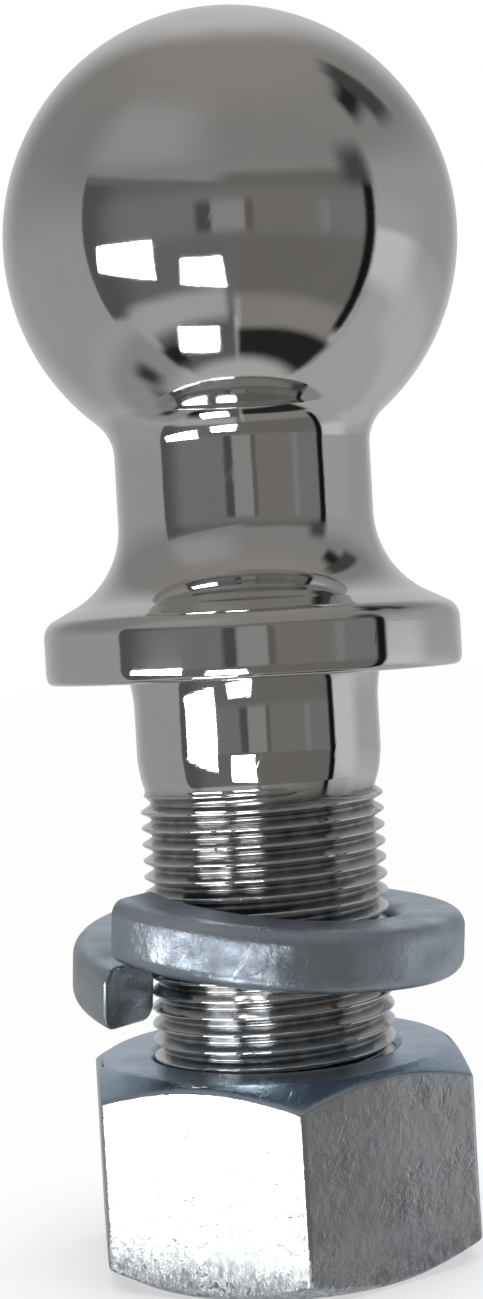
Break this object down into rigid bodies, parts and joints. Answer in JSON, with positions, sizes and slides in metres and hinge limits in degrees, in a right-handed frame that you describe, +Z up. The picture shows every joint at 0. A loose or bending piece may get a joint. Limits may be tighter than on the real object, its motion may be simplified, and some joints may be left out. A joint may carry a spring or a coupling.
{
  "type": "gooseneck hitch ball",
  "caption": "Chromed hitch ball on a waisted neck and round flange, with a threaded shank, a split spring lock washer and a hex nut.",
  "frame": {"origin": "on the shank's axis, in the plane of the flange's underside that seats on the hitch plate", "axes": "+Z up the shank's axis from the nut to the ball; +X to the right and -Y towards the viewer; the nut's front corner is 5.5 degrees to the right of -Y"},
  "size_m": [0.0588, 0.0588, 0.1604],
  "materials": {
    "chromed_forging": "bright chrome plate over forged and turned steel",
    "zinc_washer": "satin blue-white zinc plate on rolled spring steel, with tumbling scratches",
    "zinc_nut": "satin blue-white zinc plate on cold-formed steel, with scratches and faint iridescence"
  },
  "bodies": {
    "ball_body": {"hitch_ball": "chromed_forging"},
    "washer_body": {"lock_washer": "zinc_washer"},
    "nut_body": {"hex_nut": "zinc_nut"}
  },
  "joints": [
    {"name": "washer_travel", "type": "slide", "parent": "ball_body", "child": "washer_body", "axis": [0, 0, 1], "range_m": [-0.0213, 0.026]},
    {"name": "nut_turn", "type": "hinge", "parent": "washer_body", "child": "nut_body", "pos_m": [0, 0, -0.06175], "axis": [0, 0, 1], "range_deg": [-3600, 4400]}
  ],
  "couplings": [
    {"joint": "washer_travel", "follows": "nut_turn", "m_per_rad": 0.00033688}
  ]
}
